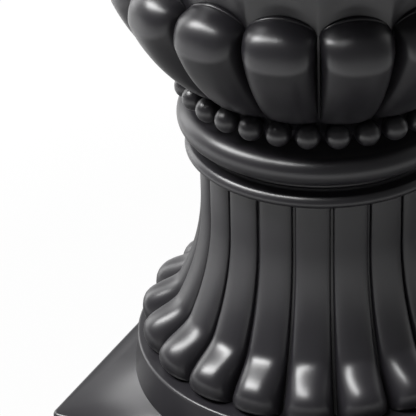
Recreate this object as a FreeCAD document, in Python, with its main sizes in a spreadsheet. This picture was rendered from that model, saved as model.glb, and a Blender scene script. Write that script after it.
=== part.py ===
import FreeCAD
import Part
import Sketcher
import math
import os
import re

# A garden urn of moulded plastic on a square plinth. +Z is up, the plinth's sides lie along X and Y,
# and the origin is on the ground at the middle. All sizes are in millimetres.
doc = FreeCAD.newDocument("urn_planter")

# ---------------------------------------------------------------- driving sizes
SIZES = [
    # alias, value, what it is
    ("pad_height", 3, "rubber foot, shown height"),
    ("pad_radius", 14, "rubber foot"),
    ("pad_inset", 24, "middle of a foot to the side of the plinth"),
    ("pad_peg_radius", 3.8, "peg of a foot"),
    ("pad_peg_length", 12, "peg of a foot"),
    ("plinth_side", 292, "square plinth across its sides"),
    ("plinth_height", 40, "square plinth"),
    ("plinth_wall", 4.5, "side walls of the plinth"),
    ("plinth_deck", 5, "top plate of the plinth"),
    ("plinth_corner", 6, "upright corners of the plinth"),
    ("plinth_bevel", 3, "rounding round the top of the plinth"),
    ("plinth_opening", 84, "radius of the hand hole in the plinth"),
    ("post_radius", 18, "corner posts inside the plinth"),
    ("spigot_fit", 0.3, "clearance of the locating ring inside the drum"),
    ("spigot_wall", 4, "locating ring on the plinth"),
    ("spigot_height", 7, "locating ring on the plinth"),
    ("drum_radius", 136.7, "round drum at its foot"),
    ("drum_draft", 2.4, "how much narrower the drum is at its top"),
    ("drum_height", 28.5, "round drum"),
    ("drum_edge", 3.2, "rounding on the drum"),
    ("shell", 4.5, "wall of the pedestal"),
    ("stem_height", 149.5, "top of the drum to the underside of the ring"),
    ("neck_radius", 81, "stem between two ribs, where it is upright"),
    ("neck_length", 38, "upright length of the stem"),
    ("stem_foot", 118, "radius of the stem between two ribs, on the drum"),
    ("rib_count", 20, "ribs round the stem"),
    ("rib_gap", 1.6, "flat strip between two ribs"),
    ("rib_depth", 4.4, "how far a rib stands out at the neck"),
    ("rib_root", 3, "how deep a rib is rooted in the wall"),
    ("rib_fullness", 2.3, "section of a rib: 2 is an ellipse, more is squarer"),
    ("toe_depth", 17, "how far a rib stands out at its toe"),
    ("toe_rise", 9, "middle of a toe above the drum"),
    ("toe_growth", 1.7, "how late a rib grows towards its toe: 1 is evenly"),
    ("toe_roll", 120, "turn of a toe's round end, in degrees"),
    ("rib_turn", 1.8, "turn of the ribs on the plinth, in degrees"),
    ("ring_radius", 95.7, "narrow ring under the bowl"),
    ("ring_height", 9, "narrow ring under the bowl"),
    ("seat_radius", 86, "joint between bowl and pedestal"),
    ("seat_height", 3, "joint above the narrow ring"),
    ("plate", 8, "top plate of the pedestal"),
    ("foot_height", 5.6, "foot of the bowl under its collar"),
    ("collar_radius", 100.3, "half-round collar"),
    ("collar_height", 20.8, "half-round collar"),
    ("throat_radius", 86.5, "neck of the bowl behind the beads"),
    ("throat_height", 51, "neck of the bowl, from the joint"),
    ("bead_count", 30, "beads round the neck"),
    ("bead_radius", 8.6, "one bead"),
    ("bead_ring", 93.6, "radius of the ring of beads"),
    ("bead_level", 43, "middle of the beads, from the joint"),
    ("lobe_count", 16, "lobes round the bowl"),
    ("lobe_gap", 1.6, "flat strip between two lobes"),
    ("lobe_root", 4, "how deep a lobe is rooted in the wall"),
    ("lobe_fullness", 2.4, "section of a lobe: 2 is an ellipse, more is squarer"),
    ("lobe_foot", 88, "radius at the lowest end of a lobe"),
    ("lobe_lift", 3, "lowest end of a lobe above the neck"),
    ("lobe_reach", 142, "radius of a lobe at its widest"),
    ("lobe_level", 102, "widest part of a lobe, from the joint"),
    ("lobe_tuck", 9, "how much a lobe draws in from its widest part to its belly"),
    ("belly_share", 0.6, "height of a lobe's belly, as a share of its side"),
    ("foot_share", 0.2, "rise of a lobe's lower part, as a share of its side"),
    ("dome_height", 37, "rounded top of a lobe above its widest part"),
    ("dome_start", 0.75, "where the dome begins, as a share of the wall's arc behind the lobe"),
    ("dome_lip", 2.6, "ledge between a lobe's top and the wall"),
    ("dome_drop", 8, "how much the dome has dropped two thirds of the way out"),
    ("dome_root", 10, "how deep a lobe's top is rooted in the wall"),
    ("dome_lift", 4, "root of a lobe's top above the end of the gap"),
    ("waist_radius", 118.3, "wall of the bowl between two lobes"),
    ("waist_level", 126.5, "top of the gap between two lobes, from the joint"),
    ("belly_arc", 190, "arc of the wall behind the lobes"),
    ("rim_radius", 225, "outside of the rolled rim"),
    ("rim_roll", 9, "rolled rim"),
    ("bowl_height", 312, "joint to the top of the rim"),
    ("bowl_wall", 5, "wall of the bowl"),
    ("bowl_floor", 8, "floor of the bowl"),
    ("drain_radius", 10, "drain hole in the floor"),
    ("drain_relief", 16, "hole under the drain hole"),
    ("plug_fit", 0.3, "clearance round the plug"),
    ("plug_head", 15, "head of the plug"),
    ("plug_cap", 4, "thickness of the head"),
    ("plug_stem", 7, "stem of the plug below its head"),
    ("loop_radius", 6, "pull loop on the plug"),
    ("loop_wire", 1.8, "thickness of the loop, as a radius"),
    ("bolt_count", 3, "bolts through the joint"),
    ("bolt_circle", 50, "radius of the circle of bolts"),
    ("bolt_radius", 4, "bolt shank"),
    ("bolt_fit", 0.3, "clearance round a bolt"),
    ("bolt_head", 7.5, "bolt head"),
    ("bolt_head_height", 4.5, "bolt head"),
    ("bolt_socket", 3.2, "hexagon socket, middle to a corner"),
    ("bolt_length", 32, "bolt under its head"),
    ("seal_radius", 11, "rubber seal"),
    ("seal_height", 2.5, "rubber seal"),
    ("washer_radius", 10, "steel washer"),
    ("washer_height", 1.6, "steel washer"),
    ("nut_radius", 7.5, "hub of a wing nut"),
    ("nut_height", 7, "hub of a wing nut"),
    ("wing_span", 16, "middle of the hub to the tip of a wing"),
    ("wing_height", 13, "wing of a wing nut"),
    ("wing_thickness", 2.6, "wing of a wing nut"),
    ("thread_fit", 0.1, "clearance in a thread"),
    ("screw_count", 4, "screws through the plinth"),
    ("screw_circle", 101, "radius of the circle of screws"),
    ("screw_radius", 2.5, "screw shank"),
    ("screw_head", 5, "screw head where it bears"),
    ("screw_crown", 4.5, "screw head at its end"),
    ("screw_head_height", 3, "screw head"),
    ("screw_length", 20, "screw under its head"),
    ("boss_radius", 7, "screw boss in the pedestal"),
]
sheet = doc.addObject("Spreadsheet::Sheet", "Sizes")
for row, (alias, size, meaning) in enumerate(SIZES, start=1):
    sheet.set("A%d" % row, alias)
    sheet.set("B%d" % row, str(size))
    sheet.set("C%d" % row, meaning)
    sheet.setAlias("B%d" % row, alias)
doc.recompute()

# Heights that follow from the sizes, each from the ground.
LEVELS = {
    "plinth_top": "(pad_height + plinth_height)",
    "seat_level": "(pad_height + plinth_height + drum_height + stem_height + ring_height + seat_height)",
}
ALIASES = {alias for alias, size, meaning in SIZES}


def bound(text):
    """The expression that the document keeps for a formula in size names."""
    for name, formula in LEVELS.items():
        text = re.sub(r"\b%s\b" % name, formula, text)
    return re.sub(r"\b[a-z_]+\b", lambda m: "Sizes." + m.group() if m.group() in ALIASES else m.group(), text)


def value(text):
    """The number that a formula in size names comes to now, worked out in a spare cell of the sheet."""
    sheet.set("E1", "=" + bound(text))
    sheet.recomputeCells("E1", "E1")
    number = sheet.get("E1")
    return float(getattr(number, "Value", number))


def bind(obj, **formulas):
    """Ties properties of an object to formulas in size names."""
    for prop, text in formulas.items():
        obj.setExpression(prop.replace("__", "."), bound(text))
    return obj


def make(kind, name, **formulas):
    return bind(doc.addObject(kind, name), **formulas)


def combine(kind, name, **links):
    obj = doc.addObject(kind, name)
    for prop, link in links.items():
        setattr(obj, prop, link)
    return obj


def half_round(radius):
    """The arc of a half-round stretch: a hair over half its chord, so that it has a centre."""
    return radius + " + 0.001"


# ---------------------------------------------------------------- turned shapes
def origin_plane(body, role):
    return [f for f in body.Origin.OriginFeatures if f.Role == role][0]


def turned(name, corners):
    """A body turned about Z. Each corner is (radius, height) or (radius, height, arc), all as formulas:
    arc is the radius of a round stretch from this corner to the next, minus when it bends the other way."""
    body = doc.addObject("PartDesign::Body", name)
    sketch = body.newObject("Sketcher::SketchObject", name + "_outline")
    sketch.AttachmentSupport = [(origin_plane(body, "XZ_Plane"), "")]
    sketch.MapMode = "FlatFace"
    points = [FreeCAD.Vector(value(c[0]), value(c[1]), 0) for c in corners]
    for i, corner in enumerate(corners):
        start = points[i]
        end = points[(i + 1) % len(points)]
        if len(corner) == 2:
            sketch.addGeometry(Part.LineSegment(start, end))
            continue
        radius = value(corner[2])
        chord = end - start
        half = chord.Length / 2
        across = FreeCAD.Vector(-chord.y, chord.x, 0).normalize()
        offset = math.sqrt(max(radius * radius - half * half, 0))
        centre = (start + end) * 0.5 + across * (offset if radius > 0 else -offset)
        bulge = centre - across * math.copysign(abs(radius), radius)
        first, last = (start, end) if radius > 0 else (end, start)
        sketch.addGeometry(Part.Arc(first, bulge, last))
    ends = []
    for i, corner in enumerate(corners):
        backwards = len(corner) == 3 and value(corner[2]) < 0
        ends.append((2, 1) if backwards else (1, 2))
    for i, corner in enumerate(corners):
        after = (i + 1) % len(corners)
        sketch.addConstraint(Sketcher.Constraint("Coincident", i, ends[i][1], after, ends[after][0]))
    for i, corner in enumerate(corners):
        place = ends[i][0]
        for kind, text, where in (("DistanceX", corner[0], points[i].x),
                                  ("DistanceY", corner[1], points[i].y)):
            if text == "0":
                axis = -2 if kind == "DistanceX" else -1
                sketch.addConstraint(Sketcher.Constraint("PointOnObject", i, place, axis))
                continue
            index = sketch.addConstraint(Sketcher.Constraint(kind, -1, 1, i, place, where))
            sketch.setExpression("Constraints[%d]" % index, bound(text))
        if len(corner) == 3:
            size = corner[2].lstrip("-")
            index = sketch.addConstraint(Sketcher.Constraint("Radius", i, value(size)))
            sketch.setExpression("Constraints[%d]" % index, bound(size))
    turn = body.newObject("PartDesign::Revolution", name + "_turn")
    turn.Profile = sketch
    turn.ReferenceAxis = (sketch, ["V_Axis"])
    turn.Angle = 360
    sketch.Visibility = False
    return body


# ---------------------------------------------------------------- puffed ribs and lobes
def section(base, out, depth, count, gap, fullness):
    """Closed outline of one of count ribs or lobes: a full half-round on a straight back, standing on base
    (radius, height) along the unit direction out. It fills its share of the circle less half the gap on
    each side."""
    steps = 12
    bow = []
    for k in range(steps + 1):
        angle = math.pi * k / steps
        rise = abs(math.sin(angle)) ** (2 / fullness) * depth
        radius = base[0] + out[0] * rise
        width = radius * math.tan(math.pi / count) - gap / 2
        side = math.copysign(abs(math.cos(angle)) ** (2 / fullness), math.cos(angle)) * width
        bow.append(FreeCAD.Vector(radius, side, base[1] + out[1] * rise))
    curve = Part.BSplineCurve()
    curve.interpolate(bow)
    return Part.Wire([curve.toShape(), Part.LineSegment(bow[-1], bow[0]).toShape()])


def toward(start, end):
    length = math.hypot(end[0] - start[0], end[1] - start[1])
    return ((end[0] - start[0]) / length, (end[1] - start[1]) / length), length


def around(shape, count, first):
    """Copies of a shape spaced evenly about Z, the first one turned by first degrees."""
    copies = []
    for k in range(int(count)):
        copy = shape.copy()
        copy.rotate(FreeCAD.Vector(0, 0, 0), FreeCAD.Vector(0, 0, 1), first + 360 * k / count)
        copies.append(copy)
    return copies


def feature(name, shape):
    obj = doc.addObject("Part::Feature", name)
    obj.Shape = shape
    return obj


def bezier(poles, share):
    """The point at a share of the way along the curve with four poles."""
    rest = 1 - share
    weights = (rest ** 3, 3 * rest * rest * share, 3 * rest * share * share, share ** 3)
    return tuple(sum(weight * pole[axis] for weight, pole in zip(weights, poles)) for axis in (0, 1))


def rib_shape():
    """One rib of the stem, on +X: it runs down the stem, flares with it and ends in a round toe."""
    neck = value("neck_radius")
    bend_level = value("drum_height + stem_height - neck_length")
    above_bend = value("neck_length + ring_height / 2")
    run = value("stem_foot - neck_radius")
    drop = value("stem_height - neck_length")
    arc = (run * run + drop * drop) / (2 * run)
    toe_angle = math.asin((drop - value("toe_rise")) / arc)
    root = value("rib_root")
    shape = (value("rib_count"), value("rib_gap"), value("rib_fullness"))
    wires = []
    places = [(0, above_bend), (0, above_bend / 2)] + [(share, 0) for share in (0, 0.25, 0.5, 0.7, 0.85, 1)]
    for share, above in places:
        angle = share * toe_angle
        out = (math.cos(angle), math.sin(angle))
        depth = value("rib_depth") + value("toe_depth - rib_depth") * share ** value("toe_growth") + root
        base = (neck + arc * (1 - out[0]) - out[0] * root, bend_level + above - (arc + root) * out[1])
        wires.append(section(base, out, depth, *shape))
    stem = Part.makeLoft(wires, True)
    pivot = FreeCAD.Vector(base[0], 0, base[1])
    toe = Part.Face(wires[-1]).revolve(pivot, FreeCAD.Vector(0, 1, 0), value("toe_roll"))
    return stem.fuse(toe).removeSplitter()


def lobe_sections():
    """Where one lobe stands and reaches, from its lowest end over its side and dome to the wall:
    pairs of a foot and a crest, each (radius, height)."""
    low = (value("throat_radius + 2"), value("throat_height"))
    high = (value("waist_radius"), value("waist_level"))
    arc = value("belly_arc")
    chord, length = toward(low, high)
    offset = math.sqrt(arc * arc - length * length / 4)
    centre = ((low[0] + high[0]) / 2 - chord[1] * offset, (low[1] + high[1]) / 2 + chord[0] * offset)
    first = math.atan2(low[1] - centre[1], low[0] - centre[0])
    last = math.atan2(high[1] - centre[1], high[0] - centre[0])
    foot = (value("lobe_foot"), value("throat_height + lobe_lift"))
    widest = (value("lobe_reach"), value("lobe_level"))
    tall = widest[1] - foot[1]
    side = [foot, ((foot[0] + widest[0]) / 2, foot[1] + tall * value("foot_share")),
            (widest[0] - value("lobe_tuck"), foot[1] + tall * value("belly_share")), widest]
    top = (high[0] + value("dome_lip"), widest[1] + value("dome_height"))
    dome = [widest, (widest[0], (widest[1] + top[1]) / 2),
            (high[0] + (widest[0] - high[0]) * 2 / 3, top[1] - value("dome_drop")), top]
    places = []
    for share in (0.06, 0.2, 0.4, 0.6, 0.8, 1):
        angle = first + (last - first) * share * value("dome_start")
        stand = (centre[0] + arc * math.cos(angle), centre[1] + arc * math.sin(angle))
        places.append((stand, bezier(side, share)))
    start = places[-1][0]
    back = (high[0] - value("dome_root"), high[1] + value("dome_lift"))
    for share in (0.25, 0.5, 0.75, 1):
        between = tuple(start[axis] + (back[axis] - start[axis]) * share for axis in (0, 1))
        places.append((between, bezier(dome, share)))
    return places


def lobe_shape():
    """One lobe of the bowl, on +X."""
    root = value("lobe_root")
    shape = (value("lobe_count"), value("lobe_gap"), value("lobe_fullness"))
    wires = []
    for foot, crest in lobe_sections():
        out, depth = toward(foot, crest)
        base = (foot[0] - out[0] * root, foot[1] - out[1] * root)
        wires.append(section(base, out, depth + root, *shape))
    return Part.makeLoft(wires, True)


# ---------------------------------------------------------------- bowl
# The flare meets the rolled rim under the middle of the roll.
flare_end = ("(rim_radius - 1.4 * rim_roll)", "(bowl_height - 1.9 * rim_roll)")
flare_run = "(%s - waist_radius)" % flare_end[0]
flare_rise = "(%s - waist_level)" % flare_end[1]
flare_arc = "((%s ^ 2 + %s ^ 2) / (2 * %s))" % (flare_run, flare_rise, flare_run)
bowl_blank = turned("bowl_blank", [
    ("0", "0"),
    ("seat_radius", "0"),
    ("seat_radius", "foot_height"),
    ("collar_radius - collar_height / 2", "foot_height", half_round("collar_height / 2")),
    ("collar_radius - collar_height / 2", "foot_height + collar_height"),
    ("throat_radius", "foot_height + collar_height"),
    ("throat_radius", "throat_height"),
    ("throat_radius + 2", "throat_height", "belly_arc"),
    ("waist_radius", "waist_level", "-%s" % flare_arc),
    flare_end,
    ("rim_radius - rim_roll", "bowl_height - 2 * rim_roll", half_round("rim_roll")),
    ("rim_radius - rim_roll", "bowl_height"),
    ("0", "bowl_height"),
])
bowl_cavity = turned("bowl_cavity", [
    ("0", "bowl_floor"),
    ("throat_radius - bowl_wall", "bowl_floor"),
    ("throat_radius - bowl_wall", "throat_height"),
    ("throat_radius + 2 - bowl_wall", "throat_height + bowl_wall / 2", "belly_arc - bowl_wall"),
    ("waist_radius - bowl_wall", "waist_level", "-(%s + bowl_wall)" % flare_arc),
    ("rim_radius - 2 * rim_roll", "bowl_height - rim_roll"),
    ("rim_radius - 2 * rim_roll", "bowl_height + rim_roll"),
    ("0", "bowl_height + rim_roll"),
])
half_lobe = 180 / value("lobe_count")
lobes = feature("lobes", Part.makeCompound(around(lobe_shape(), value("lobe_count"), half_lobe)))
bead = Part.makeSphere(value("bead_radius"), FreeCAD.Vector(value("bead_ring"), 0, value("bead_level")))
beads = feature("beads", Part.makeCompound(around(bead, value("bead_count"), 0)))
bowl_outside = combine("Part::MultiFuse", "bowl_outside", Shapes=[bowl_blank, lobes, beads])
bowl_hollow = combine("Part::Cut", "bowl_hollow", Base=bowl_outside, Tool=bowl_cavity)


def hole(name, radius, height, x="0", y="0", low="-1"):
    """A cylinder that cuts a hole."""
    return make("Part::Cylinder", name, Radius=radius, Height=height, Placement__Base__x=x,
                Placement__Base__y=y, Placement__Base__z=low)


def ring_place(circle, count, k, first=0):
    """Formulas for the place of the k-th of count things on a circle."""
    angle = "(%s * 1 deg + 360 deg * %d / %s)" % (first, k, count)
    return "%s * cos(%s)" % (circle, angle), "%s * sin(%s)" % (circle, angle)


def bolt_holes(name, height, low):
    """Cylinders that cut the holes for the bolts through the joint."""
    holes = []
    for k in range(int(value("bolt_count"))):
        x, y = ring_place("bolt_circle", "bolt_count", k, 90)
        holes.append(hole("%s_%d" % (name, k + 1), "bolt_radius + bolt_fit", height, x, y, low))
    return holes


drain = hole("drain", "drain_radius", "bowl_floor + 2")
bowl_holes = bolt_holes("bowl_bolt_hole", "bowl_floor + 2", "-1")
bowl_cuts = combine("Part::MultiFuse", "bowl_cuts", Shapes=[drain] + bowl_holes)
bowl = combine("Part::Cut", "bowl", Base=bowl_hollow, Tool=bowl_cuts)
bind(bowl, Placement__Base__z="seat_level")

# ---------------------------------------------------------------- pedestal
stem_run = "(stem_foot - neck_radius)"
stem_drop = "(stem_height - neck_length)"
stem_arc = "((%s ^ 2 + %s ^ 2) / (2 * %s))" % (stem_run, stem_drop, stem_run)
ring_base = "drum_height + stem_height"
pedestal_blank = turned("pedestal_blank", [
    ("0", "0"),
    ("drum_radius", "0"),
    ("drum_radius - drum_draft", "drum_height - drum_edge", "drum_edge"),
    ("drum_radius - drum_draft - drum_edge", "drum_height"),
    ("stem_foot", "drum_height", "-%s" % stem_arc),
    ("neck_radius", "%s - neck_length" % ring_base),
    ("neck_radius", ring_base),
    ("ring_radius - ring_height / 2", ring_base, half_round("ring_height / 2")),
    ("ring_radius - ring_height / 2", "%s + ring_height" % ring_base),
    ("seat_radius", "%s + ring_height" % ring_base),
    ("seat_radius", "%s + ring_height + seat_height" % ring_base),
    ("0", "%s + ring_height + seat_height" % ring_base),
])
pedestal_cavity = turned("pedestal_cavity", [
    ("0", "-1"),
    ("drum_radius - 2 * shell", "-1"),
    ("drum_radius - 2 * shell", "drum_height - shell"),
    ("stem_foot - shell", "drum_height - shell", "-(%s + shell)" % stem_arc),
    ("neck_radius - shell", "%s - neck_length" % ring_base),
    ("neck_radius - shell", "%s + ring_height + seat_height - plate" % ring_base),
    ("0", "%s + ring_height + seat_height - plate" % ring_base),
])
ribs = feature("ribs", Part.makeCompound(around(rib_shape(), value("rib_count"), value("rib_turn"))))
pedestal_outside = combine("Part::MultiFuse", "pedestal_outside", Shapes=[pedestal_blank, ribs])
pedestal_hollow = combine("Part::Cut", "pedestal_hollow", Base=pedestal_outside, Tool=pedestal_cavity)
bosses = []
pilot_holes = []
for k in range(int(value("screw_count"))):
    x, y = ring_place("screw_circle", "screw_count", k, 45)
    bosses.append(make("Part::Cylinder", "boss_%d" % (k + 1), Radius="boss_radius",
                       Height="drum_height + shell", Placement__Base__x=x, Placement__Base__y=y))
    pilot_holes.append(hole("pilot_%d" % (k + 1), "screw_radius + thread_fit",
                            "screw_length - plinth_deck + 2", x, y))
pedestal_full = combine("Part::MultiFuse", "pedestal_full", Shapes=[pedestal_hollow] + bosses)
relief = hole("relief", "drain_relief", "ring_height + plate + 20", low="%s - 10" % ring_base)
plate_holes = bolt_holes("plate_hole", "ring_height + seat_height + 1", ring_base)
pedestal_cuts = combine("Part::MultiFuse", "pedestal_cuts", Shapes=[relief] + plate_holes + pilot_holes)
pedestal = combine("Part::Cut", "pedestal", Base=pedestal_full, Tool=pedestal_cuts)
bind(pedestal, Placement__Base__z="plinth_top")

# ---------------------------------------------------------------- plinth
def square(name, side, height, low, corner, edge="0"):
    """An upright block on the origin with rounded upright corners."""
    body = doc.addObject("PartDesign::Body", name)
    sketch = body.newObject("Sketcher::SketchObject", name + "_outline")
    sketch.AttachmentSupport = [(origin_plane(body, "XY_Plane"), "")]
    sketch.MapMode = "FlatFace"
    half = value(side) / 2
    corners = [FreeCAD.Vector(x * half, y * half, 0) for x, y in ((-1, -1), (1, -1), (1, 1), (-1, 1))]
    for i in range(4):
        sketch.addGeometry(Part.LineSegment(corners[i], corners[(i + 1) % 4]))
    for i in range(4):
        sketch.addConstraint(Sketcher.Constraint("Coincident", i, 2, (i + 1) % 4, 1))
        sketch.addConstraint(Sketcher.Constraint("Horizontal" if i % 2 == 0 else "Vertical", i))
    sketch.addConstraint(Sketcher.Constraint("Symmetric", 0, 1, 1, 2, -1, 1))
    for line in (0, 1):
        index = sketch.addConstraint(Sketcher.Constraint("Distance", line, value(side)))
        sketch.setExpression("Constraints[%d]" % index, bound(side))
    pad = body.newObject("PartDesign::Pad", name + "_pad")
    pad.Profile = sketch
    bind(pad, Length=height)
    sketch.Visibility = False
    doc.recompute()
    rounding = body.newObject("PartDesign::Fillet", name + "_corners")
    rounding.Base = (pad, edges_where(pad.Shape, is_upright))
    bind(rounding, Radius=corner)
    if edge != "0":
        doc.recompute()
        top = rounding.Shape.BoundBox.ZMax
        bevel = body.newObject("PartDesign::Fillet", name + "_bevel")
        bevel.Base = (rounding, edges_where(rounding.Shape, lambda e: lies_at(e, top)))
        bind(bevel, Radius=edge)
    bind(body, Placement__Base__z=low)
    return body


def edges_where(shape, test):
    """Names of the edges of a shape that pass a test."""
    return ["Edge%d" % number for number, edge in enumerate(shape.Edges, start=1) if test(edge)]


def is_upright(edge):
    box = edge.BoundBox
    return box.ZLength > 1 and box.XLength < 0.01 and box.YLength < 0.01


def lies_at(edge, level):
    return abs(edge.BoundBox.ZMin - level) < 0.01 and abs(edge.BoundBox.ZMax - level) < 0.01


def corner_places():
    """Formulas for the places of the four rubber feet."""
    reach = "(plinth_side / 2 - pad_inset)"
    return [(x + reach, y + reach) for x in ("", "-") for y in ("", "-")]


plinth_block = square("plinth_block", "plinth_side", "plinth_height", "0", "plinth_corner", "plinth_bevel")
plinth_room = square("plinth_room", "plinth_side - 2 * plinth_wall", "plinth_height - plinth_deck + 1", "-1",
                     "plinth_corner - plinth_wall + 1")
posts = []
peg_holes = []
for k, (x, y) in enumerate(corner_places()):
    posts.append(make("Part::Cylinder", "post_%d" % (k + 1), Radius="post_radius",
                      Height="plinth_height - plinth_deck / 2", Placement__Base__x=x, Placement__Base__y=y))
    peg_holes.append(hole("peg_hole_%d" % (k + 1), "pad_peg_radius + thread_fit", "pad_peg_length + 2", x, y))
plinth_shell = combine("Part::Cut", "plinth_shell", Base=plinth_block, Tool=plinth_room)
spigot_radius = "(drum_radius - 2 * shell - spigot_fit)"
spigot = make("Part::Cylinder", "spigot", Radius=spigot_radius, Height="plinth_deck + spigot_height",
              Placement__Base__z="plinth_height - plinth_deck")
plinth_full = combine("Part::MultiFuse", "plinth_full", Shapes=[plinth_shell, spigot] + posts)
spigot_bore = make("Part::Cylinder", "spigot_bore", Radius=spigot_radius + " - spigot_wall",
                   Height="spigot_height + 1", Placement__Base__z="plinth_height")
hand_hole = hole("hand_hole", "plinth_opening", "plinth_height + 2")
screw_holes = []
for k in range(int(value("screw_count"))):
    x, y = ring_place("screw_circle", "screw_count", k, 45)
    screw_holes.append(hole("screw_hole_%d" % (k + 1), "screw_radius + bolt_fit", "plinth_height + 2", x, y))
plinth_cuts = combine("Part::MultiFuse", "plinth_cuts",
                      Shapes=[spigot_bore, hand_hole] + screw_holes + peg_holes)
plinth = combine("Part::Cut", "plinth", Base=plinth_full, Tool=plinth_cuts)
bind(plinth, Placement__Base__z="pad_height")

# ---------------------------------------------------------------- fasteners and small pieces
def group(name, copies, level):
    """Separate equal pieces kept together under one name, at a level above the ground."""
    node = combine("Part::Compound", name, Links=copies)
    return bind(node, Placement__Base__z=level)


def cylinder(name, radius, height, x, y, low="0"):
    return make("Part::Cylinder", name, Radius=radius, Height=height, Placement__Base__x=x,
                Placement__Base__y=y, Placement__Base__z=low)


def washers(name, radius, height, level):
    rings = []
    for k in range(int(value("bolt_count"))):
        x, y = ring_place("bolt_circle", "bolt_count", k, 90)
        disc = cylinder("%s_disc_%d" % (name, k + 1), radius, height, x, y)
        bore = cylinder("%s_bore_%d" % (name, k + 1), "bolt_radius + bolt_fit", height + " + 2", x, y, "-1")
        rings.append(combine("Part::Cut", "%s_%d" % (name, k + 1), Base=disc, Tool=bore))
    return group(name, rings, level)


floor_top = "seat_level + bowl_floor"
plate_low = "seat_level - plate"
bolts = []
nuts = []
for k in range(int(value("bolt_count"))):
    x, y = ring_place("bolt_circle", "bolt_count", k, 90)
    number = k + 1
    head = make("Part::Cylinder", "bolt_head_%d" % number, Radius="bolt_head", Height="bolt_head_height",
                Placement__Base__x=x, Placement__Base__y=y)
    shank = cylinder("bolt_shank_%d" % number, "bolt_radius", "bolt_length + 1", x, y, "-bolt_length")
    socket = make("Part::Prism", "bolt_socket_%d" % number, Polygon="6", Circumradius="bolt_socket",
                  Height="bolt_head_height", Placement__Base__x=x, Placement__Base__y=y,
                  Placement__Base__z="bolt_head_height / 2")
    solid = combine("Part::Fuse", "bolt_solid_%d" % number, Base=head, Tool=shank)
    bolts.append(combine("Part::Cut", "bolt_%d" % number, Base=solid, Tool=socket))
    hub = cylinder("nut_hub_%d" % number, "nut_radius", "nut_height", x, y, "-nut_height")
    wing = make("Part::Box", "nut_wing_%d" % number, Length="2 * wing_span", Width="wing_thickness",
                Height="wing_height", Placement__Base__x=x + " - wing_span",
                Placement__Base__y=y + " - wing_thickness / 2", Placement__Base__z="-wing_height")
    middle = cylinder("nut_middle_%d" % number, "nut_radius - 1", "wing_height - nut_height + 1", x, y,
                      "-wing_height - 1")
    bore = cylinder("nut_bore_%d" % number, "bolt_radius + thread_fit", "wing_height + 2", x, y,
                    "-wing_height - 1")
    winged = combine("Part::Fuse", "nut_winged_%d" % number, Base=hub, Tool=wing)
    relief = combine("Part::MultiFuse", "nut_relief_%d" % number, Shapes=[middle, bore])
    nuts.append(combine("Part::Cut", "nut_%d" % number, Base=winged, Tool=relief))
bowl_bolts = group("bowl_bolts", bolts, floor_top + " + seal_height")
bolt_seals = washers("bolt_seals", "seal_radius", "seal_height", floor_top)
bolt_washers = washers("bolt_washers", "washer_radius", "washer_height", plate_low + " - washer_height")
wing_nuts = group("wing_nuts", nuts, plate_low + " - washer_height")

screws = []
for k in range(int(value("screw_count"))):
    x, y = ring_place("screw_circle", "screw_count", k, 45)
    number = k + 1
    head = make("Part::Cone", "screw_head_%d" % number, Radius1="screw_head", Radius2="screw_crown",
                Height="screw_head_height", Placement__Base__x=x, Placement__Base__y=y,
                Placement__Base__z="-screw_head_height")
    shank = cylinder("screw_shank_%d" % number, "screw_radius", "screw_length + 0.5", x, y, "-0.5")
    screws.append(combine("Part::Fuse", "screw_%d" % number, Base=head, Tool=shank))
plinth_screws = group("plinth_screws", screws, "plinth_top - plinth_deck")

feet = []
for k, (x, y) in enumerate(corner_places()):
    disc = cylinder("foot_disc_%d" % (k + 1), "pad_radius", "pad_height", x, y)
    peg = cylinder("foot_peg_%d" % (k + 1), "pad_peg_radius", "pad_peg_length + 1", x, y, "pad_height - 1")
    feet.append(combine("Part::Fuse", "foot_%d" % (k + 1), Base=disc, Tool=peg))
foot_pads = group("foot_pads", feet, "0")

plug_cap = cylinder("plug_cap_disc", "plug_head", "plug_cap", "0", "0")
plug_stem = cylinder("plug_stem_rod", "drain_radius - plug_fit", "plug_stem + 1", "0", "0", "-plug_stem")
plug_loop = make("Part::Torus", "plug_loop", Radius1="loop_radius", Radius2="loop_wire",
                 Placement__Base__z="plug_cap + loop_radius - loop_wire / 2")
plug_loop.Placement.Rotation = FreeCAD.Rotation(FreeCAD.Vector(1, 0, 0), 90)
drain_plug = combine("Part::MultiFuse", "drain_plug", Shapes=[plug_cap, plug_stem, plug_loop])
bind(drain_plug, Placement__Base__z=floor_top)

# ---------------------------------------------------------------- tests and files
NODES = [bowl, pedestal, plinth, bowl_bolts, bolt_seals, bolt_washers, wing_nuts, plinth_screws, foot_pads,
         drain_plug]
doc.recompute()
for obj in doc.Objects:
    if "Invalid" in obj.State or "Error" in obj.State:
        raise RuntimeError("%s was not built: %s" % (obj.Name, obj.State))
for node in NODES:
    if node.Shape.isNull() or not node.Shape.isValid():
        raise RuntimeError("%s has no valid shape" % node.Label)

os.makedirs("parts", exist_ok=True)
for node in NODES:
    print(node.Label, len(node.Shape.Solids), "solids,", round(node.Shape.Volume / 1000, 1), "cm3")
    node.Shape.exportStep("parts/%s.step" % node.Label)
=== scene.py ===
"""Garden urn of black moulded plastic: a lobed bowl on a ribbed stem and a square plinth."""
import math

import bmesh
import bpy
from mathutils import Matrix, Vector


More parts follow.
